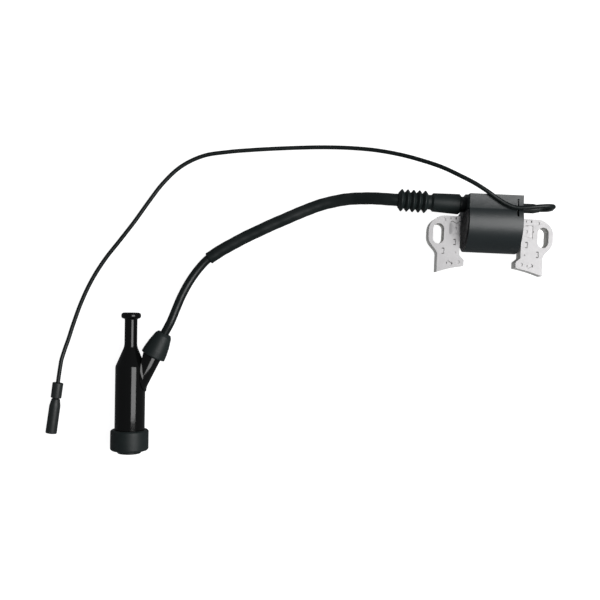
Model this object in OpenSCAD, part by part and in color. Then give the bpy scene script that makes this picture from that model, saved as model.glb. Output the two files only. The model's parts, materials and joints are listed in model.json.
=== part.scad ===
// Ignition coil for a small petrol engine: a laminated U core with a potted coil on its centre bar,
// a sparking-plug lead with its cap, and a stop wire with a bullet connector.
// Origin: midway between the two mounting slots, on the core's mounting face.
// +X runs from slot to slot, +Y points away from the flywheel, +Z out of the engine.

/* [Core] */
// Distance between the centres of the two mounting slots
slot_pitch = 62; // [52:0.5:75]
// Width of a mounting slot, for an M6 screw
slot_w = 6.4; // [5.4:0.1:7.6]
// Length of a mounting slot, end to end
slot_l = 12; // [10:0.5:14]
// Thickness of the stack of laminations
stack_t = 10; // [8:0.5:12]
// Thickness of one lamination
lam_t = 0.5; // [0.35:0.05:0.65]
// Metal left outside each slot
lug_w = 2.7; // [2:0.1:4]
// Height of a leg above the slots' centre line
leg_top = 10.7; // [9:0.1:12.5]
// Drop from the slots' centre line to the inner corner of a pole face
pole_drop = 18.6; // [17:0.1:22.5]
// How far a pole foot reaches in past its leg
foot_step = 2.7; // [1:0.1:3.5]
// Radius of the flywheel rim, with the air gap, that the pole faces follow
flywheel_r = 90; // [70:1:110]
// Height of the centre bar
bar_h = 7.4; // [6:0.1:9]
// Centre of the bar above the slots' centre line
bar_y = 3.3; // [2.5:0.1:4]

/* [Windings] */
// Wall of the primary bobbin
primary_wall = 0.9; // [0.6:0.1:1.3]
// Depth of the primary winding
primary_depth = 1.4; // [1:0.1:2]
// Wall of the secondary bobbin
secondary_wall = 0.9; // [0.6:0.1:1.3]
// Depth of the secondary winding
secondary_depth = 1.7; // [1.2:0.1:2.2]
// Number of chambers in the secondary bobbin
chambers = 7; // [4:1:10]

/* [Case] */
// Length of the case along the bar
case_l = 31.3; // [26:0.1:38]
// Wall of the case
case_wall = 1.6; // [1.2:0.1:2.2]
// Resin between the secondary bobbin and the case
pot_gap = 1.2; // [0.5:0.1:1.5]
// Axis of the case's round part above the bar's centre
case_lift = 3.8; // [3:0.1:5]
// Top of the electronics box above the axis of the round part
box_rise = 16.2; // [15.5:0.1:20.5]
// How far the box's flat faces lie inside the round part
box_inset = 2; // [1.5:0.1:3]
// Gap between the case's terminal end and its leg
leg_clear = 2; // [1:0.1:3]
// Height of the resin left proud of the open end
resin_proud = 0.9; // [0.2:0.1:1.5]

/* [Lead] */
// Diameter of the high-tension lead
lead_d = 5.2; // [4:0.1:5.5]
// Diameter of the lead's conductor
lead_core_d = 1.8; // [1.4:0.1:2.2]
// Outer diameter of the sleeve on the lead
lead_sleeve_d = 7.4; // [6.6:0.1:8]
// Outer diameter of the lead's outlet on the case
outlet_d = 9.4; // [8:0.1:10]
// Length of the outlet
outlet_l = 17; // [12:0.5:18]
// Outer diameter of the bellows boot's ribs
rib_d = 13.3; // [12:0.1:15]
// Distance from one rib to the next
rib_pitch = 3.5; // [3:0.1:4]
// Outer diameter of the boot's plain end
boot_d = 12.2; // [11.2:0.1:14.5]

/* [Plug cap] */
// Diameter of the cap's body
cap_d = 18; // [16:0.1:21]
// Overall length of the cap
cap_l = 85; // [78:0.5:100]
// Diameter of the pull knob's neck
neck_d = 7.6; // [6.5:0.1:9]
// Diameter of the pull knob
knob_d = 11.8; // [10:0.1:14]
// Diameter of the side branch that the lead screws into
branch_d = 10.5; // [9:0.1:11.2]
// Angle between the branch and the body
branch_angle = 26.6; // [24:0.1:32]
// Diameter of the plug seal
seal_d = 22.9; // [21:0.1:27]
// Length of the plug seal's thick part
seal_l = 12.3; // [10:0.1:14.5]
// Bore of the seal's lip, which grips the plug's insulator
seal_bore = 11; // [9:0.1:12]
// Bore of the cap, which clears the plug's insulator
cap_bore = 13; // [11.5:0.1:14]
// Bore of the plug socket, for a standard plug terminal nut
socket_bore = 6.4; // [5.9:0.05:6.5]

/* [Stop wire] */
// Diameter of the stop wire
wire_d = 2.5; // [2:0.1:2.8]
// Width of the stop terminal's blade
blade_w = 2.8; // [2.4:0.1:3.2]
// Outer diameter of the sleeve over the blade's receptacle
terminal_sleeve_d = 5.8; // [5.6:0.1:6.8]
// Outer diameter of the short sleeve on the wire
wire_sleeve_d = 6.5; // [5:0.1:7.8]
// Length of the short sleeve
wire_sleeve_l = 9.4; // [7:0.1:11]
// Outer diameter of the bullet's sleeve
bullet_sleeve_d = 6.8; // [6.4:0.1:8]
// Length of the bullet's sleeve
bullet_sleeve_l = 21.4; // [18:0.1:24]
// Bore of the bullet receptacle
bullet_bore = 3.95; // [3.3:0.05:4.1]

/* [Hidden] */
$fn = 64;

fit = 0.1;       // loose fit of wires and bobbins
run = 0.05;      // running fit, radial, where one piece slides or turns on another
mid_z = stack_t / 2;

// core
slot_x = slot_pitch / 2;
leg_out = slot_x + slot_w / 2 + lug_w;
foot_out = slot_x + 0.3;
case_shift = 0.45;                              // the case sits nearer its terminal end
case_right = case_shift + case_l / 2;
case_left = case_shift - case_l / 2;
leg_in = case_right + leg_clear;
foot_in = leg_in - foot_step;
tongue_land = 3.1;                              // metal between a tongue's tip and its slot
tongue_l = slot_x - slot_w / 2 - tongue_land - leg_in;
shoulder_x = slot_x - 0.7;                      // the leg's top corner is cut off outside this
shoulder_drop = 4.9;                            // height of that cut
waist_top = -4.6;                               // the leg narrows to its foot between these heights
waist_bottom = -11;
step_top = foot_step - 15.3;                    // the pole foot steps inwards between these heights
step_bottom = foot_step - 17.7;
foot_blank = 9;                                 // metal below the pole's corner, cut back by the flywheel's arc
flywheel_y = -pole_drop - sqrt(pow(flywheel_r, 2) - pow(foot_in, 2));

// punched locks in a leg: [distance from the inner edge, y, width, height, turn]
locks = [[4.3, 9.3, 3.4, 1.6, 0], [3.2, -4.7, 1.6, 3.4, 0], [9.9, -10.2, 1.6, 3.4, 0],
    [5.8, -17.2, 3.4, 1.6, 30]];
// round locks: [distance from the inner edge, y, diameter]
round_locks = [[9.7, 8.4, 2], [0.6, -16.4, 2], [2.4, -10.8, 0.8]];

// sections of the coil, each as [depth along Z, height along Y, corner radius]
tunnel = [stack_t + 2 * fit, bar_h + 2 * fit, 0.3];
primary_tube = grown(tunnel, primary_wall);
primary_outside = grown(primary_tube, primary_depth);
primary_flange = grown(primary_outside, 0.1);
secondary_hole = grown(primary_flange, fit);
secondary_tube = grown(secondary_hole, secondary_wall);
secondary_outside = grown(secondary_tube, secondary_depth);
secondary_flange = grown(secondary_outside, 0.3);
flange_t = 0.8;

// case
case_y = bar_y + case_lift;
case_r_in = norm([case_lift + secondary_flange[1] / 2 - secondary_flange[2],
    secondary_flange[0] / 2 - secondary_flange[2]]) + secondary_flange[2] + pot_gap;
case_r = case_r_in + case_wall;
box_half = case_r - box_inset;
box_top = case_y + box_rise;
coil_left = case_left + case_wall;              // ends of the bobbins
coil_right = case_right - case_wall;
shoulder_y = bar_y + secondary_flange[1] / 2;   // the box's floor: top of the secondary's flanges
open_top = shoulder_y + 1.2;                    // the left end is open up to here
clip_slit = [1.2, 10.4, 1.2];                    // width, length and depth of the slit beside the wire
clip_rim = 2.7;                                 // width of the rim outside the slit
clip_top = box_top - 2.2;                       // upper end of the slit
socket_hood = 0.8;                              // collar round the terminal is this much wider than its sleeve

// lead outlet: u is the distance along its axis from the case's left end
outlet_y = 18.2;
outlet_tilt = 1.6;
boot_start = 3;
plain_end = 20.3;
ribs_start = 22.4;
rib_count = 5;
boot_end = ribs_start + rib_count * rib_pitch + 0.2;
lead_inside = 10;                               // lead inside the case
core_short = 6;                                 // conductor cut back where the pin or screw goes in

// electronics
board = [15, 1.6, 25];
board_y = box_top - case_wall - board[1] - 0.3;  // underside of the board
board_x = coil_right - 1 - board[0];
// axial components under the board: [x on the board, z, length, diameter]
axials = [[2, -5, 6, 1.8], [4.8, -5, 6, 1.8], [7.8, -6, 7, 2.4]];
transistor = [8.5, 4.4, 10];

// stop terminal
blade_y = 17.6;
blade_t = 0.5;
blade_out = 7;                                  // blade outside the case
receptacle_l = 7;
crimp_l = 4.2;
collar_l = 1.2;
terminal_sleeve_l = receptacle_l + crimp_l + 2.2;
terminal_tail_d = 3.6;                          // the sleeve's soft tail follows the wire's bend

// cap: s runs up the body from the mouth, t runs up the branch from the body's axis
lip_l = 1.9;
body_start = lip_l + 1.2;
seal_end = lip_l + seal_l;
branch_s = 32;
shoulder_s = 52.6;
neck_s = 65.2;
knob_t = 3.6;
insulator_end = 19;
socket_r = socket_bore / 2 + 0.75;
socket_l = 7.5;
block_s = branch_s - 1.5;
block_l = 6;
resistor_t = 3.5;
resistor_l = 17;
screw_head = 1.6;
lead_seat = resistor_t + resistor_l + screw_head;   // t of the lead's end
branch_end = 40;
branch_boot_start = 30.1;
branch_boot_end = 45.5;
boot_lip = 5.3;                                 // length of the branch boot's bore on the lead

// Route of the high-tension lead, from inside the case to its seat in the cap
lead_route = [[-5.2, 17.9, 5], [-15, 18.2, 5], [-33, 18.7, 5], [-44, 19, 5], [-55, 19.3, 5],
    [-64, 19.8, 3.2], [-73, 20.2, -0.7], [-82, 20, -4.4], [-92, 18.5, -7.4], [-104, 14.8, -8.5],
    [-117, 8.9, -8.5], [-132, 1.6, -8.5], [-147, -6.3, -8.5], [-160, -14.1, -8.5],
    [-168.6, -20.1, -8.5], [-174.5, -26.9, -8.2], [-179.7, -35.2, -7], [-183.8, -44.4, -4.6],
    [-186.6, -52.8, -2.1], [-188.9, -59.6, -0.7], [-192.3, -66.8, -0.7], [-202.2, -88.1, -0.7]];
sleeve_first = 2;                               // the sleeve runs between these points of the route
sleeve_last = 14;

// Route of the stop wire, from the receptacle's crimp to the bullet's crimp
wire_route = [[25.6, 17.6, 5], [29, 17.6, 5], [31.9, 17.6, 5.7], [34, 17.6, 8.1], [34.8, 17.7, 12],
    [34.5, 17.7, 16.6], [32.8, 17.7, 20.2], [29, 17.4, 22.2], [23, 16.7, 22.8], [16, 15.8, 22.4],
    [10.5, 16, 21.8], [5, 18, 21.5], [0, 20.9, 21.5], [-5.3, 24.4, 21.5], [-12.5, 28.9, 20.4],
    [-20, 33, 18], [-31, 38.7, 13.2], [-42.5, 43.2, 7.6], [-54.5, 47, 2], [-69, 50, -3.4],
    [-84.5, 51.4, -7.2], [-100, 51.6, -9.6], [-115, 50.9, -10.7], [-130, 49.7, -10.9],
    [-145, 48.2, -10.9], [-160, 46.3, -10.9], [-175, 43.2, -10.9], [-188.4, 36, -10.9], [-199, 25.3, -10.9],
    [-207.5, 13.2, -10.9], [-215.6, 0.8, -10.9], [-224.2, -11.3, -10.9], [-232.9, -23.4, -10.9],
    [-240.3, -36.3, -10.9], [-246.1, -50, -10.9], [-250.6, -64.1, -10.9], [-253.1, -73.4, -10.7],
    [-255.2, -81, -9.9], [-256.6, -88, -8.8], [-259.2, -115, -8.8]];

terminal_tail_end = 4;                          // the terminal sleeve's tail ends at this point

lead_end = lead_route[len(lead_route) - 1];
lead_way = unit(lead_route[len(lead_route) - 2] - lead_end);
wire_end = wire_route[len(wire_route) - 1];
wire_way = unit(wire_route[len(wire_route) - 2] - wire_end);
bullet_l = 17;
bullet_crimp = 5;                               // the wire goes this far into the bullet
bullet_r = bullet_bore / 2 + 0.5;
bullet_sleeve_start = 4.7;                      // above the wire's end
sleeve_gap = 0.5;

function grown(section, by) = [section[0] + 2 * by, section[1] + 2 * by, section[2] + by];
function unit(v) = v / norm(v);
function flat(p) = [p[0], p[1]];

// Outline through corners [x, y, r], each rounded to its own radius r
function rounded(corners, steps = 6) = [for (i = [0:len(corners) - 1])
    let (n = len(corners), b = flat(corners[i]), r = corners[i][2],
        u = unit(flat(corners[(i + n - 1) % n]) - b), v = unit(flat(corners[(i + 1) % n]) - b),
        half = acos(u * v) / 2, centre = b + unit(u + v) * r / sin(half),
        first = b + u * r / tan(half) - centre, last = b + v * r / tan(half) - centre,
        sweep = 180 - 2 * half)
    each r == 0 ? [b] : [for (k = [0:steps])
        centre + (sin((1 - k / steps) * sweep) * first + sin(k / steps * sweep) * last) / sin(sweep)]];

function part_of(list, first, last) = [for (i = [first:last]) list[i]];
function tangent(p, i) = unit(p[min(i + 1, len(p) - 1)] - p[max(i - 1, 0)]);
function squared(n, t) = unit(n - (n * t) * t);
// A normal at each point of a route, carried along it without twist
function normals(p) = [for (i = 0, n = squared([0, 1, 0.3], tangent(p, 0)); i < len(p);
    i = i + 1, n = squared(n, tangent(p, min(i, len(p) - 1)))) n];
function rings(p, r, sides) = let (n = normals(p)) [for (i = [0:len(p) - 1], k = [0:sides - 1])
    let (a = 360 * k / sides) p[i] + r * (cos(a) * n[i] + sin(a) * cross(tangent(p, i), n[i]))];
function walls(count, sides, from) = [for (i = [0:count - 2], k = [0:sides - 1])
    let (a = from + i * sides, j = (k + 1) % sides) [a + k, a + sides + k, a + sides + j, a + j]];
function turned(faces) = [for (f = faces) [f[3], f[2], f[1], f[0]]];
function annulus(a, b, sides) = [for (k = [0:sides - 1])
    let (j = (k + 1) % sides) [a + k, a + j, b + j, b + k]];

// A round cord along a route
module cord(route, r, sides) {
    count = len(route);
    polyhedron(rings(route, r, sides), concat(walls(count, sides, 0),
        [[for (k = [0:sides - 1]) k], [for (k = [sides - 1:-1:0]) (count - 1) * sides + k]]));
}

// A round hose along a route
module hose(route, r_out, r_in, sides) {
    count = len(route);
    inner = count * sides;
    last = (count - 1) * sides;
    polyhedron(concat(rings(route, r_out, sides), rings(route, r_in, sides)),
        concat(walls(count, sides, 0), turned(walls(count, sides, inner)),
            annulus(0, inner, sides), turned(annulus(last, inner + last, sides))));
}

// A length along X of a shape drawn with its x along Y and its y along Z
module along_x(from, to) translate([from, 0, 0]) rotate([90, 0, 90]) linear_extrude(to - from) children();

// A block with rounded edges along X, centred on the bar
module section_2d(s) {
    w = s[0];
    h = s[1];
    r = s[2];
    translate([bar_y, mid_z]) {
        square([h - 2 * r, w], center = true);
        square([h, w - 2 * r], center = true);
        for (i = [-1, 1], j = [-1, 1]) translate([i * (h / 2 - r), j * (w / 2 - r)]) circle(r);
    }
}

module section_tube(outside, hole, from, to) along_x(from, to) difference() {
    section_2d(outside);
    section_2d(hole);
}

// Round body turned about an axis: points are [radius, distance along the axis]
module turned_body(points) rotate_extrude() polygon(points);

module at_outlet(u) translate([case_left, outlet_y, mid_z]) rotate([0, 0, -outlet_tilt])
    rotate([0, -90, 0]) translate([0, 0, u]) children();

// Puts Z along a direction in the XY plane
module pointed(way) rotate([0, 0, atan2(way[1], way[0])]) rotate([0, 90, 0]) children();

module at_branch(t) translate(lead_end) pointed(lead_way) translate([0, 0, t - lead_seat]) children();

module at_cap(s) at_branch(0) rotate([-branch_angle, 0, 0]) translate([0, 0, s - branch_s]) children();

module at_bullet(w) translate(wire_end) pointed(wire_way) translate([0, 0, w]) children();

// ---- core ----

// Centre bar with a dovetail tongue at each end
module bar_2d() {
    h = bar_h / 2;
    r = min(0.8, tongue_l / 8);
    corner = [[leg_in, h, 0], [leg_in + tongue_l * 0.38, h - 0.9, 2 * r],
        [leg_in + tongue_l * 0.72, h, r], [leg_in + tongue_l, h - 0.4, r]];
    back = [for (i = [len(corner) - 1:-1:0]) corner[i]];
    translate([0, bar_y]) polygon(rounded([for (c = corner) c, for (c = back) [c[0], -c[1], c[2]],
        for (c = corner) [-c[0], -c[1], c[2]], for (c = back) [-c[0], c[1], c[2]]]));
}

module leg_2d() difference() {
    polygon(rounded([[leg_in, leg_top, 0.6], [shoulder_x, leg_top, 8],
        [leg_out, leg_top - shoulder_drop, 8], [leg_out, waist_top, 8], [foot_out, waist_bottom, 4.5],
        [foot_out, -pole_drop - foot_blank, 0], [foot_in, -pole_drop - foot_blank, 0],
        [foot_in, step_bottom, 1], [leg_in, step_top, 1]]));
    translate([0, flywheel_y]) circle(flywheel_r, $fn = 256);
    bar_2d();
    translate([slot_x, 0]) {
        square([slot_w, slot_l - slot_w], center = true);
        for (s = [-1, 1]) translate([0, s * (slot_l - slot_w) / 2]) circle(slot_w / 2);
    }
}

module leg() difference() {
    linear_extrude(stack_t) leg_2d();
    for (m = locks) translate([leg_in + m[0], m[1], stack_t]) rotate([0, 0, m[4]])
        cube([m[2], m[3], 2 * lam_t], center = true);
    for (m = round_locks) translate([leg_in + m[0], m[1], stack_t - lam_t]) cylinder(2 * lam_t, d = m[2]);
}

module right_leg_stack() color("gainsboro") leg();

module left_leg_stack() color("gainsboro") mirror([1, 0, 0]) leg();

module core_bar_stack() color("silver") difference() {
    linear_extrude(stack_t) bar_2d();
    for (s = [-1, 1]) translate([s * (leg_in + tongue_l * 0.43), bar_y, stack_t - lam_t])
        cylinder(2 * lam_t, d = 1.8);
}

// ---- windings ----

module primary_bobbin() color("ivory") {
    section_tube(primary_tube, tunnel, coil_left, coil_right);
    section_tube(primary_flange, primary_tube, coil_left, coil_left + flange_t);
    section_tube(primary_flange, primary_tube, coil_right - flange_t, coil_right);
}

module primary_winding() color("chocolate")
    section_tube(primary_outside, primary_tube, coil_left + flange_t, coil_right - flange_t);

chamber_pitch = (coil_right - coil_left - flange_t) / chambers;

module secondary_bobbin() color("khaki") {
    section_tube(secondary_tube, secondary_hole, coil_left, coil_right);
    for (i = [0:chambers]) section_tube(secondary_flange, secondary_tube,
        coil_left + i * chamber_pitch, coil_left + i * chamber_pitch + flange_t);
}

module secondary_winding() color("peru") for (i = [0:chambers - 1])
    section_tube(secondary_outside, secondary_tube,
        coil_left + i * chamber_pitch + flange_t, coil_left + (i + 1) * chamber_pitch);

// ---- case ----

module case_2d(inset) {
    translate([case_y, mid_z]) circle(case_r - inset);
    translate([case_y, mid_z - box_half + inset]) square([box_rise - inset, 2 * (box_half - inset)]);
}

// The space inside the case: the round part is open at its left end, the box is closed
module case_space(proud) {
    along_x(coil_left, coil_right) case_2d(case_wall);
    along_x(case_left - proud, coil_left) intersection() {
        case_2d(case_wall);
        translate([case_y - case_r, mid_z - case_r]) square([open_top + case_r - case_y, 2 * case_r]);
    }
}

module blade_hole() translate([case_right - case_wall - 1, blade_y, mid_z])
    cube([2 * case_wall + 10, blade_w + fit, blade_t + fit], center = true);

module coil_case() color([0.16, 0.17, 0.17]) difference() {
    union() {
        along_x(case_left, case_right) case_2d(0);
        at_outlet(-case_wall) cylinder(outlet_l + case_wall, d = outlet_d);
        translate([case_right, blade_y, mid_z]) rotate([0, 90, 0])
            cylinder(collar_l, d = terminal_sleeve_d + socket_hood);
    }
    case_space(1);
    along_x(coil_right - 1, case_right + 1) section_2d(tunnel);
    at_outlet(-lead_inside) cylinder(outlet_l + lead_inside + 1, d = lead_d + 2 * fit);
    blade_hole();
    translate([case_right, blade_y, mid_z]) rotate([0, 90, 0])
        translate([0, 0, 0.2]) cylinder(collar_l + 1, d = terminal_sleeve_d);
    translate([case_right - clip_rim - clip_slit[0], clip_top - clip_slit[1], mid_z + box_half - clip_slit[2]])
        cube([clip_slit[0], clip_slit[1], case_r]);
}

module potting_resin() color([0.1, 0.1, 0.11]) difference() {
    case_space(resin_proud);
    along_x(coil_left, coil_right) section_2d(secondary_flange);
    along_x(case_left - 2, coil_left) section_2d(tunnel);
    at_outlet(-lead_inside - 2) cylinder(lead_inside + 6, d = lead_d + 2 * fit);
    lead_contact_pin();
    ignition_board();
    switching_transistor();
    board_components();
    earth_strip();
    stop_blade();
}

// ---- electronics ----

module ignition_board() color("darkgreen")
    translate([board_x, board_y, mid_z - board[2] / 2]) cube(board);

module switching_transistor() color([0.12, 0.12, 0.12])
    translate([board_x + 3, board_y - transistor[1], mid_z + board[2] / 2 - transistor[2] - 1]) cube(transistor);

module board_components() color("tan") for (c = axials)
    translate([board_x + c[0], board_y - c[3] / 2, mid_z + c[1]]) cylinder(c[2], d = c[3], center = true);

module earth_strip() color("goldenrod") {
    strip = [0.5, 2];
    z = mid_z - 11;
    x = coil_left - 0.8;
    translate([x, bar_y + bar_h / 2, z]) cube([strip[0], shoulder_y + 0.9 - bar_y - bar_h / 2, strip[1]]);
    translate([x, bar_y + bar_h / 2, z]) cube([strip[0], 0.5, 9]);
    translate([x, shoulder_y + 0.4, z]) cube([board_x + 2 - x, strip[0], strip[1]]);
    translate([board_x + 1.5, shoulder_y + 0.4, z]) cube([strip[0], board_y - shoulder_y - 0.4, strip[1]]);
}

module lead_contact_pin() color("gold") {
    at_outlet(-lead_inside - 0.9) cylinder(0.8, d = lead_d);
    at_outlet(-lead_inside - 0.9) cylinder(core_short + 0.4, d = lead_core_d - 2 * fit);
    tap_x = case_left + lead_inside + 0.4;
    translate([tap_x, shoulder_y + 0.2, mid_z]) rotate([-90, 0, 0])
        cylinder(outlet_y - shoulder_y - 1.5, d = 0.7);
}

module stop_blade() color("gold") {
    translate([case_right - 4, blade_y - blade_w / 2, mid_z - blade_t / 2])
        cube([4 + blade_out, blade_w, blade_t]);
    translate([case_right - 4, blade_y - blade_w / 2, mid_z - blade_t / 2])
        cube([0.8, board_y - blade_y + blade_w / 2, blade_t]);
}

// ---- stop wire ----

module blade_receptacle() color("gold") {
    translate([case_right + collar_l, blade_y, mid_z]) {
        difference() {
            translate([0, -blade_w / 2 - 0.5, -blade_t / 2 - 0.5])
                cube([receptacle_l, blade_w + 1, blade_t + 1]);
            translate([-1, -blade_w / 2, -blade_t / 2]) cube([receptacle_l, blade_w, blade_t]);
        }
        translate([receptacle_l, 0, 0]) rotate([0, 90, 0]) difference() {
            cylinder(crimp_l, d = wire_d + 1);
            translate([0, 0, 0.6]) cylinder(crimp_l, d = wire_d + 0.1);
        }
    }
}

module terminal_sleeve() color([0.13, 0.14, 0.14]) {
    translate([case_right + 0.2, blade_y, mid_z]) rotate([0, 90, 0]) difference() {
        cylinder(terminal_sleeve_l, d = terminal_sleeve_d - fit);
        translate([0, 0, -0.6]) cylinder(terminal_sleeve_l, d = terminal_sleeve_d - 0.8);
        cylinder(terminal_sleeve_l + 1, d = wire_d + 2 * fit);
    }
    hose(part_of(wire_route, 1, terminal_tail_end), terminal_tail_d / 2, wire_d / 2 + fit, 12);
}

module stop_wire() color([0.12, 0.14, 0.14]) cord(wire_route, wire_d / 2, 8);

module bullet_receptacle() color("gold") at_bullet(bullet_crimp - bullet_l) difference() {
    union() {
        cylinder(bullet_l - bullet_crimp, r = bullet_r);
        cylinder(bullet_l - 3, d = wire_d + 1);
    }
    translate([0, 0, -1]) cylinder(bullet_l - bullet_crimp - 0.5, d = bullet_bore);
    translate([0, 0, bullet_l - bullet_crimp - 0.2]) cylinder(bullet_l, d = wire_d + 0.1);
}

module bullet_sleeve() color([0.13, 0.14, 0.14])
    at_bullet(bullet_sleeve_start - bullet_sleeve_l) rotate_extrude() polygon([
        [bullet_r + run, 0], [bullet_sleeve_d / 2, 0], [bullet_sleeve_d / 2 - 0.1, bullet_sleeve_l - 4.5],
        [wire_d / 2 + 1.45, bullet_sleeve_l - 0.3], [wire_d / 2 + 1.2, bullet_sleeve_l],
        [wire_d / 2 + run, bullet_sleeve_l], [wire_d / 2 + run, bullet_sleeve_l - 0.6],
        [wire_d / 2 + 0.7, bullet_sleeve_l - 0.6],
        [bullet_r + run, bullet_sleeve_l - 4.8]]);

module wire_sleeve() color([0.13, 0.14, 0.14])
    at_bullet(bullet_sleeve_start + sleeve_gap) difference() {
        cylinder(wire_sleeve_l, d = wire_sleeve_d);
        translate([0, 0, -1]) cylinder(wire_sleeve_l + 2, r = wire_d / 2 + run);
    }

// ---- high-tension lead ----

// Half-profile of one rib of the bellows, from its valley to the next
function rib(u) = [[rib_d / 2 - 1.8, u + 0.3], [rib_d / 2, u + 0.33 * rib_pitch],
    [rib_d / 2, u + 0.67 * rib_pitch], [rib_d / 2 - 1.8, u + rib_pitch - 0.3]];

module bellows_boot() color([0.13, 0.15, 0.15]) at_outlet(0) turned_body(concat(
    [[outlet_d / 2, boot_start], [boot_d / 2 - 0.6, boot_start], [boot_d / 2, boot_start + 0.7],
        [boot_d / 2 - 0.5, plain_end - 0.9], [rib_d / 2 - 2.3, plain_end], [rib_d / 2 - 2.3, ribs_start]],
    [for (i = [0:rib_count - 1]) each rib(ribs_start + i * rib_pitch)],
    [[rib_d / 2 - 2, boot_end], [lead_sleeve_d / 2 + 2 * fit, boot_end],
        [lead_sleeve_d / 2 + 2 * fit, outlet_l + 0.2], [outlet_d / 2, outlet_l + 0.2]]));

module lead_sleeve() color([0.11, 0.13, 0.13])
    hose(part_of(lead_route, sleeve_first, sleeve_last), lead_sleeve_d / 2, lead_d / 2 + run, 10);

module ht_lead() color([0.09, 0.1, 0.1]) hose(lead_route, lead_d / 2, lead_core_d / 2, 10);

// The conductor stops short of the insulation's ends, where the pin and the screw go in
module ht_lead_core() {
    last = len(lead_route) - 1;
    route = [for (i = [0:last])
        i == 0 ? lead_route[0] + core_short * tangent(lead_route, 0)
        : i == last ? lead_route[last] - core_short * tangent(lead_route, last)
        : lead_route[i]];
    color("silver") cord(route, lead_core_d / 2 - 0.05, 10);
}

// ---- plug cap ----

module cap_body() color([0.06, 0.07, 0.07]) difference() {
    union() {
        at_cap(0) turned_body([[0, body_start], [cap_d / 2, body_start], [cap_d / 2, shoulder_s],
            [neck_d / 2, neck_s], [neck_d / 2, cap_l - knob_t], [knob_d / 2 - 0.8, cap_l - knob_t],
            [knob_d / 2, cap_l - knob_t + 0.8], [knob_d / 2, cap_l - 1.2],
            [knob_d / 2 - 1.2, cap_l], [0, cap_l]]);
        at_branch(0) cylinder(branch_end, d = branch_d);
    }
    at_cap(body_start - 1) cylinder(insulator_end - body_start + 1, d = cap_bore);
    at_cap(insulator_end - 1) cylinder(block_s + block_l - insulator_end + 1, r = socket_r);
    at_branch(0) cylinder(branch_end + 1, d = lead_d + 2 * run);
}

module cap_plug_seal() color([0.13, 0.15, 0.15]) at_cap(0) turned_body([[seal_bore / 2, 0],
    [seal_bore / 2 + 1.3, 0], [seal_bore / 2 + 1.8, 0.5], [seal_bore / 2 + 1.8, lip_l],
    [seal_d / 2 - 1, lip_l], [seal_d / 2, lip_l + 1], [seal_d / 2, seal_end - 1],
    [seal_d / 2 - 1, seal_end], [cap_d / 2, seal_end], [cap_d / 2, body_start], [seal_bore / 2, body_start]]);

module cap_branch_boot() color([0.13, 0.15, 0.15]) at_branch(0) turned_body([
    [branch_d / 2 + run, branch_boot_start], [branch_d / 2 + 1.8, branch_boot_start],
    [branch_d / 2 + 2.2, branch_boot_start + 0.5], [branch_d / 2 + 2.1, branch_boot_start + 3],
    [branch_d / 2 + 1.5, branch_boot_start + 7.5], [branch_d / 2 + 0.4, branch_boot_start + 12],
    [branch_d / 2 - 0.2, branch_boot_end - 1.2], [branch_d / 2 - 1.3, branch_boot_end],
    [lead_d / 2 + run, branch_boot_end], [lead_d / 2 + run, branch_boot_end - boot_lip],
    [branch_d / 2 + run, branch_boot_end - boot_lip]]);

module cap_lead_screw() color("gold") {
    at_branch(lead_seat - screw_head) cylinder(screw_head, d = lead_d - 0.4);
    at_branch(lead_seat - screw_head) cylinder(screw_head + core_short - 0.6, d = lead_core_d - 2 * run);
}

module cap_resistor() color("beige") {
    at_branch(resistor_t) cylinder(resistor_l, d = lead_d - 1);
    for (t = [0, resistor_l - 2]) at_branch(resistor_t + t) cylinder(2, d = lead_d - 0.4);
}

module cap_contact_block() color("gold") difference() {
    at_cap(block_s) cylinder(block_l, r = socket_r - run);
    at_branch(resistor_t) cylinder(12, d = lead_d);
}

// Compression spring between the plug socket and the contact block
module cap_contact_spring() color("silver") {
    bottom = insulator_end + 0.5 + socket_l;
    wire_r = 0.3;
    turns = 4;
    steps = 12;
    rise = block_s - bottom - 2 * wire_r;
    at_cap(bottom + wire_r) cord([for (k = [0:turns * steps]) let (a = 360 * k / steps)
        [(socket_r - 0.9) * cos(a), (socket_r - 0.9) * sin(a), rise * k / (turns * steps)]], wire_r, 6);
}

// Split brass socket that snaps over the plug's terminal nut
module cap_plug_socket() color("gold") at_cap(insulator_end + 0.5) difference() {
    cylinder(socket_l, r = socket_r - run);
    translate([0, 0, -1]) cylinder(socket_l, d = socket_bore);
}

left_leg_stack();
right_leg_stack();
core_bar_stack();
coil_case();
potting_resin();
primary_bobbin();
primary_winding();
secondary_bobbin();
secondary_winding();
ignition_board();
switching_transistor();
board_components();
earth_strip();
lead_contact_pin();
stop_blade();
blade_receptacle();
terminal_sleeve();
stop_wire();
bullet_receptacle();
wire_sleeve();
bullet_sleeve();
bellows_boot();
lead_sleeve();
ht_lead();
ht_lead_core();
cap_body();
cap_branch_boot();
cap_plug_seal();
cap_lead_screw();
cap_resistor();
cap_contact_block();
cap_contact_spring();
cap_plug_socket();
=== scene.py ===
# Ignition coil of a small petrol engine, with its sparking-plug lead and cap and its stop wire,
# lying on a white bench top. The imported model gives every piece's place.
import json

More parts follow.
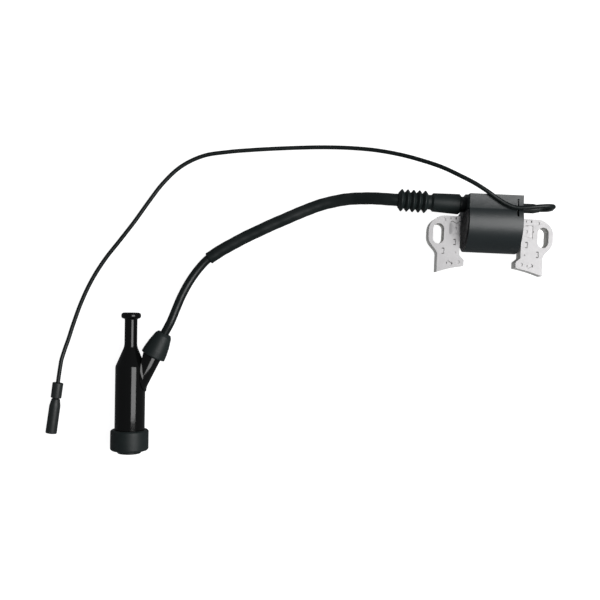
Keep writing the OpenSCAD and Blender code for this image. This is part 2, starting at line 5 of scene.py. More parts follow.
import bmesh
import bpy
import numpy as np
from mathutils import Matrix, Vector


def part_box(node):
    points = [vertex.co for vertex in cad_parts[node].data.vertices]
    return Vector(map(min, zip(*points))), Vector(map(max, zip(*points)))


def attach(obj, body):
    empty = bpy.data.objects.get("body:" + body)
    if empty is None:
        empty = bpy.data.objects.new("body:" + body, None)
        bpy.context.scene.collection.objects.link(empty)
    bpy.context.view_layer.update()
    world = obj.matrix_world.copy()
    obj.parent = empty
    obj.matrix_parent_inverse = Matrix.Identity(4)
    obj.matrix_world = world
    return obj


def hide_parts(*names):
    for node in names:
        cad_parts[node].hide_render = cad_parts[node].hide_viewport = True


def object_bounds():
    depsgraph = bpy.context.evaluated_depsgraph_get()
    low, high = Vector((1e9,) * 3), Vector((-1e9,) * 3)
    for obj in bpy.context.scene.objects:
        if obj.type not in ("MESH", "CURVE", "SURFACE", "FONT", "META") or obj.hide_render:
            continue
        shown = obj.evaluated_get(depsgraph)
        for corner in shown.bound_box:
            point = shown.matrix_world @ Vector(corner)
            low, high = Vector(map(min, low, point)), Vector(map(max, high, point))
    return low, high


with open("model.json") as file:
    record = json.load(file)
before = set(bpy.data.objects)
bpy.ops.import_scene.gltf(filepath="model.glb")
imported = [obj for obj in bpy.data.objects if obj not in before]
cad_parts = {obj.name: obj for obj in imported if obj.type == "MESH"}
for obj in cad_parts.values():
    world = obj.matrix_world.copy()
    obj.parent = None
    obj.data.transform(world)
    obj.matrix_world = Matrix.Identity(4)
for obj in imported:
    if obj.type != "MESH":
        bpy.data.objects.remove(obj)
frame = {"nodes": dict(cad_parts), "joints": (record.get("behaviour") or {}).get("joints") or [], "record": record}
nodes = frame["nodes"]
cad_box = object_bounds()
mm = 0.001


# ---- Bench top, light and camera ----
# A white bench top that glows a little, so that no shadow greys it, under one wide soft box and a
# dim room, with a white backdrop for views from the side. The camera hangs over the middle of the
# lead and looks straight down.
def lamp(name, place, size, watts, aim):
    """A rectangular soft box at place, turned so that its face looks at the point aim."""
    made = bpy.data.objects.new(name, bpy.data.lights.new(name, "AREA"))
    made.data.shape = "RECTANGLE"
    made.data.size, made.data.size_y = size
    made.data.energy = watts
    made.location = place
    look = Vector(aim) - Vector(place)
    made.rotation_euler = look.to_track_quat("-Z", "Y").to_euler()
    bpy.context.scene.collection.objects.link(made)


bench_z = cad_box[0].z
bench_size = 6.0
bench_mesh = bpy.data.meshes.new("bench_top")
bench_mesh.from_pydata(
    [(x * bench_size, y * bench_size, bench_z) for x, y in ((-1, -1), (1, -1), (1, 1), (-1, 1))],
    [], [(0, 1, 2, 3)])
bench_top = bpy.data.objects.new("bench_top", bench_mesh)
bpy.context.scene.collection.objects.link(bench_top)
bench_paint = bpy.data.materials.new("bench_white")
bench_paint.use_nodes = True
bench_shader = bench_paint.node_tree.nodes["Principled BSDF"]
bench_shader.inputs["Base Color"].default_value = (0.3, 0.3, 0.3, 1)
bench_shader.inputs["Roughness"].default_value = 0.9
bench_shader.inputs["Specular IOR Level"].default_value = 0.0
bench_shader.inputs["Emission Color"].default_value = (1, 1, 1, 1)
bench_shader.inputs["Emission Strength"].default_value = 0.95
bench_mesh.materials.append(bench_paint)
bench_top.visible_glossy = False

backdrop_mesh = bpy.data.meshes.new("backdrop")
backdrop_corners = [(x * bench_size, y * bench_size, z * bench_size)
                    for z in (-1, 1) for y in (-1, 1) for x in (-1, 1)]
backdrop_mesh.from_pydata(backdrop_corners, [], [
    (0, 1, 3, 2), (4, 6, 7, 5), (0, 4, 5, 1), (2, 3, 7, 6), (0, 2, 6, 4), (1, 5, 7, 3)])
backdrop = bpy.data.objects.new("backdrop", backdrop_mesh)
bpy.context.scene.collection.objects.link(backdrop)
backdrop_mesh.materials.append(bench_paint)
backdrop.visible_glossy = False
backdrop.visible_diffuse = False
backdrop.visible_shadow = False
backdrop.visible_transmission = False

room = bpy.data.worlds.new("room")
room.use_nodes = True
room.node_tree.nodes["Background"].inputs["Color"].default_value = (0.93, 0.96, 1.0, 1)
room.node_tree.nodes["Background"].inputs["Strength"].default_value = 0.14
bpy.context.scene.world = room
bpy.context.scene.view_settings.view_transform = "Standard"

lamp("overhead_box", (0.5, 0.03, 0.9), (0.8, 0.72), 12.5, (-0.02, 0.02, 0))

camera = bpy.data.objects.new("camera", bpy.data.cameras.new("camera"))
camera.data.lens = 50
camera.data.sensor_width = 36
camera.location = (-0.1113, -0.0431, 0.504)
camera.rotation_euler = (0, 0, np.radians(2.51))
bpy.context.scene.collection.objects.link(camera)
bpy.context.scene.camera = camera


# ---- High-tension lead ----
# Rubber-covered lead, 5.2 mm across, pushed over a pin inside the case at one end and screwed onto
# the cap's brass screw at the other. It leaves the outlet level and comes down onto the bench.
class Signal:
    """A value in a material's nodes. Arithmetic on it adds one Math node for each operator."""

    def __init__(self, finish, socket):
        self.finish = finish
        self.socket = socket

    def maths(self, operation, *values, clamp=False):
        settings = {"operation": operation, "use_clamp": clamp}
        return self.finish.node("ShaderNodeMath", settings, dict(enumerate(values)))

    def __add__(self, other):
        return self.maths("ADD", self, other)

    def __sub__(self, other):
        return self.maths("SUBTRACT", self, other)

    def __rsub__(self, other):
        return self.maths("SUBTRACT", other, self)

    def __mul__(self, other):
        return self.maths("MULTIPLY", self, other)

    __radd__ = __add__
    __rmul__ = __mul__

    def __abs__(self):
        return self.maths("ABSOLUTE", self)

    def over(self, low, high):
        """0 below low, 1 above high, and a smooth step between them; low may be the larger."""
        values = {"Value": self, "From Min": low, "From Max": high}
        return self.finish.node("ShaderNodeMapRange", {"interpolation_type": "SMOOTHSTEP"}, values)


class Finish:
    """A procedural material: one Principled shader and the nodes that feed it."""

    def __init__(self, slot, colour, roughness, name=None, **same_all_over):
        self.slot = slot
        self.material = bpy.data.materials.new(name or slot)
        self.material.use_nodes = True
        self.tree = self.material.node_tree
        self.inputs = self.tree.nodes["Principled BSDF"].inputs
        self.colour = (*colour, 1)
        self.set("Base Color", self.colour)
        self.set("Roughness", roughness)
        for socket, value in same_all_over.items():
            self.set(socket.replace("_", " "), value)
        place = self.node("ShaderNodeTexCoord", out="Object")
        self.place = self.node("ShaderNodeVectorMath", {"operation": "SCALE"}, {0: place, "Scale": 1 / mm})
        split = self.node("ShaderNodeSeparateXYZ", values={0: self.place})
        outputs = split.socket.node.outputs
        self.x, self.y, self.z = (Signal(self, outputs[k]) for k in range(3))

    def node(self, kind, settings=None, values=None, out=0):
        """Adds a node: its settings first, then the values or links of its sockets."""
        made = self.tree.nodes.new(kind)
        for setting, value in (settings or {}).items():
            setattr(made, setting, value)
        for socket, value in (values or {}).items():
            if isinstance(value, Signal):
                self.tree.links.new(value.socket, made.inputs[socket])
            else:
                made.inputs[socket].default_value = value
        return Signal(self, made.outputs[out])

    def set(self, socket, value):
        if isinstance(value, Signal):
            self.tree.links.new(value.socket, self.inputs[socket])
        else:
            self.inputs[socket].default_value = value

    def noise(self, size, detail=3.0, stretch=(1, 1, 1)):
        """Soft noise from 0 to 1 with lumps of the given size in millimetres, longer along stretch."""
        scale = tuple(1 / (size * s) for s in stretch)
        where = self.node("ShaderNodeVectorMath", {"operation": "MULTIPLY"}, {0: self.place, 1: scale})
        return self.node("ShaderNodeTexNoise", values={"Vector": where, "Scale": 1.0, "Detail": detail})

    def tint(self, mask, colour):
        """Mixes the colour so far towards another one where the mask is 1."""
        values = {0: mask, 6: self.colour, 7: (*colour, 1)}
        self.colour = self.node("ShaderNodeMix", {"data_type": "RGBA"}, values, out=2)
        self.set("Base Color", self.colour)

    def relief(self, height, depth):
        """Raises the surface by depth millimetres where height is 1, in the shading."""
        values = {"Height": height, "Distance": depth * mm}
        self.set("Normal", self.node("ShaderNodeBump", values=values))


def smooth_route(points, steps=8):
    """Curve through the listed points. Each span is a cubic that leaves and meets its two points
    along their directions, and a point's direction runs from the point before to the one after."""
    p = np.asarray(points, float)
    way = np.vstack([p[1:], p[-1:]]) - np.vstack([p[:1], p[:-1]])
    way /= np.linalg.norm(way, axis=1)[:, None]
    span = np.linalg.norm(np.diff(p, axis=0), axis=1)[:, None, None]
    t = np.linspace(0, 1, steps, endpoint=False)[None, :, None]
    curve = ((2 * t**3 - 3 * t**2 + 1) * p[:-1, None] + (3 * t**2 - 2 * t**3) * p[1:, None]
             + span * ((t**3 - 2 * t**2 + t) * way[:-1, None] + (t**3 - t**2) * way[1:, None]))
    return np.vstack([curve.reshape(-1, 3), p[-1:]])


def length_of(route):
    return float(np.linalg.norm(np.diff(route, axis=0), axis=1).sum())


def grid_faces(rows, columns):
    """Quads between neighbouring points of a grid that closes on itself round its columns."""
    row = np.arange(rows - 1)[:, None] * columns
    here = np.arange(columns)[None, :]
    after = (here + 1) % columns
    return np.stack([row + here, row + after, row + columns + after, row + columns + here], -1).reshape(-1, 4)


def along(route, profile, sides=48, uneven=0.0):
    """Skin of a round piece on a route: at each (distance, radius) of the profile, a circle of that
    radius stands square to the route. uneven is how far soft waves raise and lower the skin."""
    route = np.asarray(route, float)
    run = np.concatenate([[0], np.cumsum(np.linalg.norm(np.diff(route, axis=0), axis=1))])
    way = np.gradient(route, run, axis=0)
    distance, radius = np.asarray(profile, float).T
    centre = np.stack([np.interp(distance, run, route[:, k]) for k in range(3)], 1)
    ahead = np.stack([np.interp(distance, run, way[:, k]) for k in range(3)], 1)
    ahead /= np.linalg.norm(ahead, axis=1)[:, None]
    steep = np.abs(ahead[:, 2:])
    right = np.cross(ahead, (1 - steep) * np.array([0, 0, 1]) + steep * np.array([0, 1, 0]))
    right /= np.linalg.norm(right, axis=1)[:, None]
    up = np.cross(right, ahead)
    turn = np.linspace(0, 2 * np.pi, sides, endpoint=False)[None, :]
    wave = np.sin(distance[:, None] / mm * 0.9 + 2 * turn) + np.sin(distance[:, None] / mm * 0.37 - turn + 1)
    reach = radius[:, None] + np.minimum(radius[:, None], uneven * wave / 2)
    ring = np.cos(turn)[..., None] * right[:, None] + np.sin(turn)[..., None] * up[:, None]
    points = centre[:, None] + reach[..., None] * ring
    return points.reshape(-1, 3), grid_faces(len(distance), sides)


def rounded(corners, steps=5):
    """Closed outline through corners (x, y, r): at each, an arc of radius r that touches both sides."""
    outline = []
    straight = 1.56
    for before, here, after in zip(corners[-1:] + corners[:-1], corners, corners[1:] + corners[:1]):
        b = np.array(here[:2], float)
        u, v = (np.array(p[:2], float) - b for p in (before, after))
        u, v = u / np.linalg.norm(u), v / np.linalg.norm(v)
        half = np.arccos(np.clip(u @ v, -1, 1)) / 2
        if here[2] == 0 or half > straight:
            outline.append(b[None])
            continue
        middle = b + (u + v) / np.linalg.norm(u + v) * here[2] / np.sin(half)
        first, last = (b + w * here[2] / np.tan(half) - middle for w in (u, v))
        share = np.linspace(0, 1, steps + 1)[:, None]
        sweep = np.pi - 2 * half
        arc = np.sin((1 - share) * sweep) * first + np.sin(share * sweep) * last
        outline.append(middle + arc / np.sin(sweep))
    outline = np.vstack(outline)
    return np.vstack([outline, outline[:1]])


def piece(name, parts, finish, body, stands_for=(), sharp=40):
    """Puts (points, faces) grids into one object, welds seams and poles, and turns faces outwards."""
    points = np.vstack([p for p, faces in parts])
    start = np.cumsum([0] + [len(p) for p, faces in parts[:-1]])
    faces = [list(map(int, f)) for s, (p, grid) in zip(start, parts) for f in np.asarray(grid) + s]
    mesh = bpy.data.meshes.new(name)
    mesh.from_pydata(points.tolist(), [], faces)
    work = bmesh.new()
    work.from_mesh(mesh)
    bmesh.ops.remove_doubles(work, verts=work.verts, dist=0.002 * mm)
    bmesh.ops.recalc_face_normals(work, faces=work.faces)
    work.to_mesh(mesh)
    work.free()
    mesh.shade_smooth()
    mesh.set_sharp_from_angle(angle=np.radians(sharp))
    made = bpy.data.objects.new(name, mesh)
    mesh.materials.append(finish.material)
    bpy.context.scene.collection.objects.link(made)
    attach(made, body)
    if stands_for:
        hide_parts(*stands_for)
    return made


def cord_profile(length, radius, step=1.0 * mm):
    """Round cord with a closed, slightly rounded end at each side."""
    run = np.linspace(0, length, int(length / step) + 2)
    body = np.stack([run, np.full(len(run), radius)], 1)
    return np.vstack([[(0, 0), (0, radius * 0.8)], body[1:-1], [(length, radius * 0.8), (length, 0)]])


def tube_profile(length, radius, bore, rings, margin, set_in):
    """Tube's outer wall and lining, with its two ends' outer edges eased by the values of set_in."""
    run = np.linspace(margin, length - margin, rings)
    wall = np.stack([run, np.full(rings, radius)], 1)
    lining = np.stack([run[::-1], np.full(rings, bore)], 1)
    return np.vstack([[(0, bore), (0, radius - set_in[0])], wall,
                      [(length, radius - set_in[1]), (length, bore)], lining, [(0, bore)]])


lead_d = 5.2 * mm
lead_points = [
    (-0.0052, 0.0179, 0.005), (-0.015, 0.0182, 0.005), (-0.033, 0.0187, 0.005),
    (-0.044, 0.019, 0.005), (-0.055, 0.0193, 0.005), (-0.064, 0.0198, 0.0032),
    (-0.073, 0.0202, -0.0007), (-0.082, 0.02, -0.0044), (-0.092, 0.0185, -0.0074),
    (-0.104, 0.0148, -0.0085), (-0.117, 0.0089, -0.0085), (-0.132, 0.0016, -0.0085),
    (-0.147, -0.0063, -0.0085), (-0.16, -0.0141, -0.0085), (-0.1686, -0.0201, -0.0085),
    (-0.1745, -0.0269, -0.0082), (-0.1797, -0.0352, -0.007), (-0.1838, -0.0444, -0.0046),
    (-0.1866, -0.0528, -0.0021), (-0.1889, -0.0596, -0.0007), (-0.1923, -0.0668, -0.0007),
    (-0.2022, -0.0881, -0.0007)]

lead_rubber = Finish("lead_rubber", (0.006, 0.0085, 0.0085), 0.3, Specular_IOR_Level=0.3)
lead_rubber.tint(lead_rubber.noise(9).over(0.45, 0.75) * 0.5, (0.01, 0.0125, 0.0125))
lead_rubber.set("Roughness", 0.26 + lead_rubber.noise(3.5, 4) * 0.16)
lead_rubber.relief(lead_rubber.noise(5, 2) + lead_rubber.noise(0.35) * 0.12, 0.10)

lead_route = smooth_route(lead_points)
ht_lead = piece("ht_lead_skin", [along(lead_route, cord_profile(length_of(lead_route), lead_d / 2), 40)],
                lead_rubber, "coil", ["ht_lead"])


# ---- Sleeve on the lead ----
# A loose tube of black vinyl, slipped over the lead from the bellows boot to the bend. The real sleeve's end
# is cut by hand, a little out of square, and it wrinkles where the lead bends; here its ends are square and
# soft waves run all along it.
sleeve_d = 7.4 * mm
sleeve_points = lead_points[2:15]
sleeve_route = smooth_route(sleeve_points)
sleeve_length = length_of(sleeve_route)

sleeve_vinyl = Finish("lead_rubber", (0.007, 0.0105, 0.0105), 0.4, "sleeve_vinyl", Specular_IOR_Level=0.22)
sleeve_vinyl.tint(sleeve_vinyl.noise(14).over(0.4, 0.8) * 0.6, (0.024, 0.027, 0.027))
sleeve_vinyl.set("Roughness", 0.36 + sleeve_vinyl.noise(2.5, 4) * 0.18)
sleeve_vinyl.relief(sleeve_vinyl.noise(14, 2) + sleeve_vinyl.noise(0.3) * 0.06, 0.07)

sleeve_bore = lead_d / 2 + 0.12 * mm
sleeve_profile = tube_profile(sleeve_length, sleeve_d / 2, sleeve_bore, 170, 0.4 * mm, (0.3 * mm, 0.3 * mm))
lead_sleeve = piece("lead_sleeve_skin", [along(sleeve_route, sleeve_profile, 48, 0.08 * mm)],
                    sleeve_vinyl, "coil", ["lead_sleeve"])


# ---- Stop wire ----
# Thin vinyl-covered wire that earths the coil to stop the engine. It doubles back over the case from
# its terminal, falls to the bench and runs round the lead to its bullet connector.
wire_d = 2.5 * mm
wire_points = [
    (0.0256, 0.0176, 0.005), (0.029, 0.0176, 0.005), (0.0319, 0.0176, 0.0057),
    (0.034, 0.0176, 0.0081), (0.0348, 0.0177, 0.012), (0.0345, 0.0177, 0.0166),
    (0.0328, 0.0177, 0.0202), (0.029, 0.0174, 0.0222), (0.023, 0.0167, 0.0228),
    (0.016, 0.0158, 0.0224), (0.0105, 0.016, 0.0218), (0.005, 0.018, 0.0215), (0, 0.0209, 0.0215),
    (-0.0053, 0.0244, 0.0215), (-0.0125, 0.0289, 0.0204), (-0.02, 0.033, 0.018),
    (-0.031, 0.0387, 0.0132), (-0.0425, 0.0432, 0.0076), (-0.0545, 0.047, 0.002),
    (-0.069, 0.05, -0.0034), (-0.0845, 0.0514, -0.0072), (-0.1, 0.0516, -0.0096),
    (-0.115, 0.0509, -0.0107), (-0.13, 0.0497, -0.0109), (-0.145, 0.0482, -0.0109),
    (-0.16, 0.0463, -0.0109), (-0.175, 0.0432, -0.0109), (-0.1884, 0.036, -0.0109),
    (-0.199, 0.0253, -0.0109), (-0.2075, 0.0132, -0.0109), (-0.2156, 0.0008, -0.0109),
    (-0.2242, -0.0113, -0.0109), (-0.2329, -0.0234, -0.0109), (-0.2403, -0.0363, -0.0109),
    (-0.2461, -0.05, -0.0109), (-0.2506, -0.0641, -0.0109), (-0.2531, -0.0734, -0.0107),
    (-0.2552, -0.081, -0.0099), (-0.2566, -0.088, -0.0088), (-0.2592, -0.115, -0.0088)]

wire_vinyl = Finish("wire_vinyl", (0.006, 0.009, 0.009), 0.34, Specular_IOR_Level=0.3)
wire_vinyl.tint(wire_vinyl.noise(7).over(0.5, 0.8) * 0.4, (0.01, 0.013, 0.013))
wire_vinyl.set("Roughness", 0.3 + wire_vinyl.noise(2, 4) * 0.16)
wire_vinyl.relief(wire_vinyl.noise(12, 2) + wire_vinyl.noise(0.25) * 0.06, 0.02)

wire_route = smooth_route(wire_points)
stop_wire = piece("stop_wire_skin", [along(wire_route, cord_profile(length_of(wire_route), wire_d / 2), 24)],
                  wire_vinyl, "coil", ["stop_wire"])


# ---- Connector sleeves and bullet ----
# A brass bullet socket crimped on the wire's end, under a vinyl sleeve that slides up the wire, with a
# second short sleeve above it. Both are cut from moulded tube and have soft edges.
slide = next(j for j in frame["joints"] if j["name"] == "sleeve_slide")
bullet_way = np.array(slide["axis"])
wire_end = np.array(wire_points[-1])


def at_bullet(corners, name, finish, sides=56, uneven=0.0):
    """Turned piece on the connector's axis: corners are (distance from the wire's end, radius, fillet)."""
    low = min(c[0] for c in corners)
    high = max(c[0] for c in corners)
    profile = rounded([(w - low, r, f) for w, r, f in corners]) * mm
    axis = [wire_end + bullet_way * w * mm for w in (low, high)]
    return piece(name + "_skin", [along(axis, profile, sides, uneven)], finish, "connector_sleeves", [name])


sleeve_r = 3.4
sleeve_inside = 2.53
connector_vinyl = Finish("wire_vinyl", (0.011, 0.0145, 0.0145), 0.42, "connector_vinyl",
                         Specular_IOR_Level=0.45)
connector_vinyl.tint(connector_vinyl.noise(4).over(0.45, 0.75) * 0.6, (0.025, 0.028, 0.028))
connector_vinyl.set("Roughness", 0.38 + connector_vinyl.noise(1.2, 4) * 0.2)
connector_vinyl.relief(connector_vinyl.noise(2.2, 3) + connector_vinyl.noise(0.2) * 0.2, 0.06)

bullet_sleeve = at_bullet([
    (-16.7, sleeve_inside, 0.15), (-16.7, sleeve_r, 0.35), (0.4, sleeve_r - 0.08, 0.8),
    (4.7, 2.5, 0.5), (4.7, 1.25, 0.1), (4.1, 1.25, 0.1), (0, sleeve_inside, 0.3)],
    "bullet_sleeve", connector_vinyl, uneven=0.05 * mm)
wire_sleeve = at_bullet([(5.2, 1.25, 0.1), (5.2, 3.2, 0.4), (14.6, 3.25, 0.45), (14.6, 1.25, 0.1)],
                        "wire_sleeve", connector_vinyl, uneven=0.06 * mm)


# ---- Terminal sleeve ----
# Soft vinyl sleeve pushed into the collar round the stop terminal. It covers the blade's receptacle,
# and the wire doubles back out of its end.
terminal_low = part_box("terminal_sleeve")[0]
terminal_r = 2.85 * mm
terminal_l = 13.4 * mm
wire_hole = wire_d / 2 + 0.05 * mm
terminal_axis = [(x, wire_points[0][1], wire_points[0][2])
                 for x in (terminal_low.x, terminal_low.x + terminal_l)]
terminal_outline = rounded([
    (0, terminal_r - 0.4 * mm, 0.1 * mm), (0, terminal_r, 0.15 * mm),
    (terminal_l * 0.7, terminal_r, 3 * mm), (terminal_l, terminal_r * 0.72, 0.6 * mm),
    (terminal_l, wire_hole, 0.1 * mm), (terminal_l - 0.6 * mm, wire_hole, 0.1 * mm),
    (terminal_l - 1.4 * mm, terminal_r - 1.2 * mm, 0.2 * mm),
    (terminal_l * 0.6, terminal_r - 0.4 * mm, 1 * mm)])
tail_from, tail_to = (np.linalg.norm(wire_route - np.array(wire_points[k]), axis=1).argmin()
                      for k in (1, 4))
tail_route = wire_route[tail_from:tail_to]
tail_l = length_of(tail_route)
tail_outline = tube_profile(tail_l, 1.8 * mm, wire_hole, 40, 0.3 * mm, (0.1 * mm, 0.2 * mm))
piece("terminal_sleeve_skin",
      [along(terminal_axis, terminal_outline, 48, 0.05 * mm), along(tail_route, tail_outline, 32)],
      connector_vinyl, "coil", ["terminal_sleeve"])


# ---- Laminated core ----
# A U core of about twenty stamped steel sheets a leg, locked together by half-punched tabs, with a
# centre bar whose dovetail tongues are pressed into the legs. The cut edges are duller than the faces.
core_sheets = 20
edge_break = 0.07
leg_stacks = ("left_leg_stack", "right_leg_stack")


def laminated(node, finish, gap_at_tip=0.0):
    """Copy of a stack whose walls are one small bulge per sheet. The faces that don't run from top to
    bottom stay; the outline of the top face is carried down through the sheets, set in at each joint."""
    near = 0.01
    data = nodes[node].data
    data.calc_loop_triangles()
    points = np.zeros((len(data.vertices), 3), np.float32)
    data.vertices.foreach_get("co", points.ravel())
    triangles = np.zeros((len(data.loop_triangles), 3), np.int32)
    data.loop_triangles.foreach_get("vertices", triangles.ravel())
    points, same = np.unique(np.round(points / mm, 3), axis=0, return_inverse=True)
    triangles = same.reshape(-1)[triangles]
    triangles = triangles[(np.diff(np.sort(triangles, 1), axis=1) > 0).all(1)]
    top = points[:, 2].max()
    height = points[triangles][..., 2]
    through = (height.min(1) < near) & (height.max(1) > top - near)
    kept = triangles[~through]
    edges = np.concatenate([kept[:, [0, 1]], kept[:, [1, 2]], kept[:, [2, 0]]])
    code = edges[:, 0].astype(np.int64) * len(points) + edges[:, 1]
    back = edges[:, 1].astype(np.int64) * len(points) + edges[:, 0]
    rim = edges[~np.isin(code, back)]
    rim = rim[(points[rim][..., 2] > top - near).all(1)]
    way = points[rim[:, 1]] - points[rim[:, 0]]
    way /= np.linalg.norm(way, axis=1)[:, None]
    out = np.stack([way[:, 1], -way[:, 0], np.zeros(len(way))], 1)
    normal = np.zeros_like(points, dtype=float)
    np.add.at(normal, rim.ravel(), np.repeat(out, 2, axis=0))
    on_rim = np.unique(rim)
    size = np.linalg.norm(normal[on_rim], axis=1)[:, None]
    normal[on_rim] /= size * np.maximum(size / 2, 0.5)
    set_in = edge_break + gap_at_tip * (np.abs(points[:, 0]) > np.abs(points[:, 0]).max() - 0.6)
    lam = top / core_sheets
    share = np.array([0, 0.16, 0.84])
    level = np.append((np.arange(core_sheets)[:, None] * lam + share * lam).ravel(), top)
    depth = np.append(np.tile([1, 0, 0], core_sheets), 1)
    shift = np.repeat(np.random.default_rng(7).normal(0, 0.018, (core_sheets, 2)), 3, axis=0)
    shift = np.vstack([shift, shift[-1:]]) * (depth[:, None] == 0)
    columns = points[on_rim][None] - normal[on_rim][None] * (set_in[on_rim][:, None] * depth[:, None, None])
    columns[..., 2] = level[:, None]
    columns[..., :2] += shift[:, None]
    number = np.zeros(len(points), int)
    number[on_rim] = np.arange(len(on_rim))
    a, b = number[rim].T
    row = np.arange(len(level) - 1)[:, None] * len(on_rim)
    wall = np.stack([row + a, row + b, row + len(on_rim) + b, row + len(on_rim) + a], -1).reshape(-1, 4)
    faces = points.astype(float).copy()
    for z in (0, top):
        edge = np.abs(faces[:, 2] - z) < near
        twin = np.round(faces[edge][:, :2], 3)
        match = (np.abs(twin[:, None] - points[on_rim][None, :, :2]) < 0.004).all(2)
        nearest = match.argmax(1)
        moved = faces[edge]
        moved[match.any(1)] = columns[0 if z == 0 else -1][nearest[match.any(1)]]
        faces[edge] = moved
    return piece(node + "_sheets", [(faces * mm, kept), (columns.reshape(-1, 3) * mm, wall)],
                 finish, "coil", [node], sharp=28)


def steel(name):
    """Satin stamped steel, faintly blotched and scratched, duller on its cut edges, which carry painted light in
    faint lines.
    """
    made = Finish("core_steel", (0.43, 0.421, 0.425), 0.5, name, Metallic=0.2)
    across = made.node("ShaderNodeTexCoord", out="Normal")
    split = made.node("ShaderNodeSeparateXYZ", values={0: across})
    face = abs(Signal(made, split.socket.node.outputs[2])).over(0.5, 0.9)
    made.tint(made.noise(7, 4).over(0.35, 0.75) * 0.5, (0.38, 0.372, 0.375))
    scratch = made.noise(0.5, 1, (14, 0.5, 1)).over(0.68, 0.76)
    made.tint(scratch * 0.22, (0.35, 0.34, 0.34))
    made.tint(made.noise(0.8, 2).over(0.72, 0.8) * 0.5, (0.33, 0.32, 0.31))
    # Painted light: the sideways cut edges are tinted lighter, in faint lines, to stand for light thrown up onto
    # them from the bench.
    made.tint((1 - face) * (0.7 + made.noise(0.5, 2, (1, 1, 0.4)) * 0.3), (0.56, 0.56, 0.54))
    made.set("Metallic", 0.1 + face * 0.12)
    made.set("Roughness", 0.36 + made.noise(1.5, 4) * 0.14 + (1 - face) * 0.15)
    made.relief(made.noise(0.5, 3, (3, 1, 1)) + made.noise(4, 2) * 0.6, 0.03)
    return made


leg_steel = steel("leg_steel")
# Colour of the dark joint lines, and of the painted shade in the punched tabs and spots
joint_line_and_painted_shade = (0.045, 0.043, 0.04)
foot_step = 2.7
leg_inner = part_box("right_leg_stack")[0].x / mm + foot_step
# Painted shade at the deep ends of the punched tabs: (distance out from the leg's inner edge, height, upright or
# not)
tab_half = 1.55
leg_tabs = ((4.3, 9.3, False), (3.2, -4.7, True), (9.9, -10.2, True), (5.8, -17.2, False))
for distance, height, upright in leg_tabs:
    tab_along = leg_steel.y - height
    tab_across = abs(leg_steel.x) - (leg_inner + distance)
    if not upright:
        tab_along, tab_across = tab_across, tab_along
    end = abs(abs(tab_along) - tab_half)
    reached = end.maths("MAXIMUM", end, abs(tab_across) * 0.55)
    leg_steel.tint(reached.over(0.42, 0.22) * 0.9, joint_line_and_painted_shade)
# The right tongue's tip and top edge, which are dark joint lines, and painted shade in the two punched spots that
# hold it
tongue_marks = ((24.75, 2.9, 0.2, 3.6), (22.6, 6.8, 2.1, 0.14),
                (20.98, 3.24, 0.55, 0.55), (24.78, 3.27, 0.6, 0.6))
for x, y, half_x, half_y in tongue_marks:
    across_x = abs(leg_steel.x - x) * (1 / half_x)
    across_y = abs(leg_steel.y - y) * (1 / half_y)
    inside = across_x.maths("MAXIMUM", across_x, across_y)
    leg_steel.tint(inside.over(1.3, 0.8) * 0.85, joint_line_and_painted_shade)
# The wavy joint along the top of the left tongue
joint_y = 7.0
joint_middle = -20.6
wave = leg_steel.x.maths("SINE", leg_steel.x * 1.35 + 1.2) * 0.55
seam = abs(leg_steel.y - joint_y - wave)
beside = abs(leg_steel.x - joint_middle)
leg_steel.tint(seam.over(0.3, 0.12) * beside.over(3.6, 3.3) * 0.9, joint_line_and_painted_shade)
for name in leg_stacks:
    laminated(name, leg_steel)
bar_steel = steel("bar_steel")
laminated("core_bar_stack", bar_steel, gap_at_tip=0.12)


# ---- Case ----
# One moulding of glass-filled black plastic: a round part round the windings, a box for the
# electronics above it, the lead's outlet, and a collar round the stop terminal. Its edges are eased.
def eased(node, finish, width, segments=3):
    """Welded copy of a CAD node whose sharp edges a Bevel rounds off to the given width."""
    mesh = nodes[node].data.copy()
    work = bmesh.new()
    work.from_mesh(mesh)
    bmesh.ops.remove_doubles(work, verts=work.verts, dist=0.002 * mm)
    bmesh.ops.dissolve_limit(work, angle_limit=np.radians(0.5), verts=work.verts, edges=work.edges)
    work.to_mesh(mesh)
    work.free()
    mesh.shade_smooth()
    mesh.set_sharp_from_angle(angle=np.radians(30))
    mesh.materials.clear()
    mesh.materials.append(finish.material)
    made = bpy.data.objects.new(node + "_eased", mesh)
    bpy.context.scene.collection.objects.link(made)
    bevel = made.modifiers.new("eased_edges", "BEVEL")
    bevel.width = width
    bevel.segments = segments
    bevel.limit_method = "ANGLE"
    bevel.angle_limit = np.radians(32)
    bevel.harden_normals = True
    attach(made, "coil")
    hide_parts(node)
    return made


case_plastic = Finish("case_plastic", (0.010, 0.0145, 0.0155), 0.36, Specular_IOR_Level=0.62)
case_plastic.tint(case_plastic.noise(6, 4).over(0.35, 0.8) * 0.5, (0.013, 0.0165, 0.018))
case_plastic.set("Roughness", 0.35 + case_plastic.noise(0.5, 4) * 0.1)
case_plastic.relief(case_plastic.noise(0.22, 2) * 0.35 + case_plastic.noise(3.5, 2) * 0.5, 0.06)
eased("coil_case", case_plastic, 0.45 * mm)


# ---- Potting resin ----
# Black epoxy poured in at the round part's open end. It stands proud there, rough and lumpy, and has
# run over the rim in places.
resin_low, resin_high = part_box("potting_resin")
resin_r = (resin_high.z - resin_low.z) / 2
round_y = resin_low.y + resin_r
round_z = (resin_low.z + resin_high.z) / 2
resin_flat_y = 13.9 * mm


